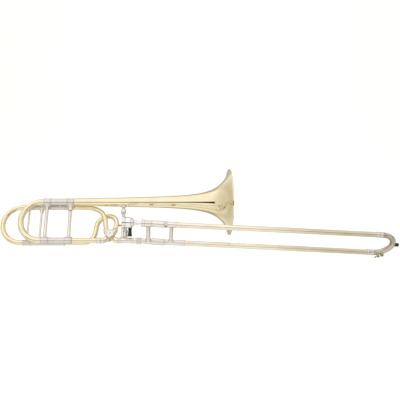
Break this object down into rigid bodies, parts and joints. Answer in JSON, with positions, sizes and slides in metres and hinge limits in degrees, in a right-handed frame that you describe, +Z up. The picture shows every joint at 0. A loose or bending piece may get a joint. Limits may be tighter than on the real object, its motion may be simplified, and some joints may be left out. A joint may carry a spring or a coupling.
{
  "type": "trombone",
  "caption": "Slide trombone with a rotary-valve F attachment: flared brass bell, hand slide, tuning slides, thumb lever and mouthpiece, all jointed.",
  "frame": {"origin": "on the neck receiver's axis where the slide section joins the bell section, which the left hand holds", "axes": "+X along the bell's axis towards its rim, +Z up in playing position, -Y towards the player's right-hand side"},
  "size_m": [1.2519, 0.243, 0.2857],
  "materials": {
    "lacquered_brass": "clear-lacquered yellow brass, polished",
    "nickel_silver": "polished nickel silver, lacquered",
    "silver_plate": "polished silver plate",
    "steel": "plain steel",
    "copper": "lacquered copper",
    "black_rubber": "satin black",
    "cork": "natural cork"
  },
  "bodies": {
    "bell_section": {"bell_stem": "lacquered_brass", "bell_flare": "lacquered_brass", "upper_slide_receiver": "nickel_silver", "lower_slide_receiver": "nickel_silver", "rear_brace": "nickel_silver", "neck_tube": "lacquered_brass", "valve_inlet_ferrule": "nickel_silver", "valve_casing": "lacquered_brass", "valve_rear_plate": "nickel_silver", "valve_cap": "nickel_silver", "stop_plate": "nickel_silver", "gooseneck": "nickel_silver", "neck_receiver": "nickel_silver", "bell_brace": "nickel_silver", "loop_strut": "copper", "lever_bearing": "nickel_silver", "f_upper_tube": "lacquered_brass", "f_lower_tube": "lacquered_brass", "f_upper_receiver": "nickel_silver", "f_lower_receiver": "nickel_silver", "f_fixed_brace": "nickel_silver", "f_upper_stay": "nickel_silver", "f_lower_stay": "nickel_silver"},
    "valve_rotor": {"valve_rotor": "lacquered_brass", "stop_arm": "steel"},
    "thumb_lever": {"lever_shaft": "steel", "thumb_lever_arm": "nickel_silver", "thumb_grip": "black_rubber", "drive_arm": "nickel_silver", "lever_spring": "steel"},
    "link_rod": {"link_rod": "steel"},
    "main_tuning_slide": {"main_tuning_bow": "lacquered_brass", "main_upper_leg": "nickel_silver", "main_lower_leg": "nickel_silver", "main_slide_brace": "nickel_silver"},
    "f_tuning_slide": {"f_tuning_bow": "lacquered_brass", "f_upper_leg": "nickel_silver", "f_lower_leg": "nickel_silver", "f_slide_brace": "nickel_silver"},
    "inner_slide": {"slide_tenon": "nickel_silver", "upper_cork_barrel": "nickel_silver", "lower_cork_barrel": "nickel_silver", "mouthpiece_receiver": "nickel_silver", "upper_inner_tube": "nickel_silver", "lower_inner_tube": "nickel_silver", "inner_slide_brace": "nickel_silver"},
    "slide_nut": {"slide_nut": "nickel_silver"},
    "mouthpiece": {"mouthpiece": "silver_plate"},
    "slide_lock": {"slide_lock_ring": "nickel_silver"},
    "outer_slide": {"upper_outer_tube": "lacquered_brass", "lower_outer_tube": "lacquered_brass", "upper_oversleeve": "nickel_silver", "lower_oversleeve": "nickel_silver", "upper_end_ferrule": "nickel_silver", "lower_end_ferrule": "nickel_silver", "outer_slide_brace": "nickel_silver", "end_bow": "nickel_silver", "slide_bumper": "black_rubber"},
    "water_key": {"water_key_lever": "nickel_silver", "water_key_cork": "cork"}
  },
  "joints": [
    {"name": "thumb_lever_turn", "type": "hinge", "parent": "bell_section", "child": "thumb_lever", "pos_m": [-0.0415, 0.01339, 0.03679], "axis": [0, -0.9397, 0.342], "range_deg": [0, 27], "stiffness_Nm_per_rad": 0.3, "springref_deg": -17.19},
    {"name": "valve_turn", "type": "hinge", "parent": "bell_section", "child": "valve_rotor", "pos_m": [-0.0915, 0.00638, 0.01753], "axis": [0, -0.9397, 0.342], "range_deg": [0, 90]},
    {"name": "link_rod_turn", "type": "hinge", "parent": "thumb_lever", "child": "link_rod", "pos_m": [-0.0415, 0.00313, 0.0086], "axis": [0, -0.9397, 0.342], "range_deg": [-27, 0]},
    {"name": "main_tuning", "type": "slide", "parent": "bell_section", "child": "main_tuning_slide", "axis": [-1, 0, 0], "range_m": [0, 0.04]},
    {"name": "f_tuning", "type": "slide", "parent": "bell_section", "child": "f_tuning_slide", "axis": [-1, 0, 0], "range_m": [0, 0.07]},
    {"name": "slide_angle", "type": "hinge", "parent": "bell_section", "child": "inner_slide", "pos_m": [0, 0, 0], "axis": [0.9986, -0.0179, -0.0492], "range_deg": [-12, 20]},
    {"name": "nut_turn", "type": "hinge", "parent": "inner_slide", "child": "slide_nut", "pos_m": [0, 0, 0], "axis": [0.9986, -0.0179, -0.0492], "range_deg": [0, 360]},
    {"name": "mouthpiece_pull", "type": "slide", "parent": "inner_slide", "child": "mouthpiece", "axis": [-0.9986, 0.0179, 0.0492], "range_m": [0, 0.03]},
    {"name": "lock_turn", "type": "hinge", "parent": "inner_slide", "child": "slide_lock", "pos_m": [0.08546, -0.06893, 0.05239], "axis": [0.9986, -0.0179, -0.0492], "range_deg": [0, 40]},
    {"name": "hand_slide", "type": "slide", "parent": "inner_slide", "child": "outer_slide", "axis": [0.9986, -0.0179, -0.0492], "range_m": [0, 0.58]},
    {"name": "water_key_turn", "type": "hinge", "parent": "outer_slide", "child": "water_key", "pos_m": [0.74897, -0.02331, -0.04688], "axis": [0.3737, 0.6983, -0.6105], "range_deg": [0, 18], "stiffness_Nm_per_rad": 0.05, "springref_deg": -22.92}
  ],
  "couplings": [
    {"joint": "valve_turn", "follows": "thumb_lever_turn", "ratio": 3.3333},
    {"joint": "link_rod_turn", "follows": "thumb_lever_turn", "ratio": -1}
  ]
}
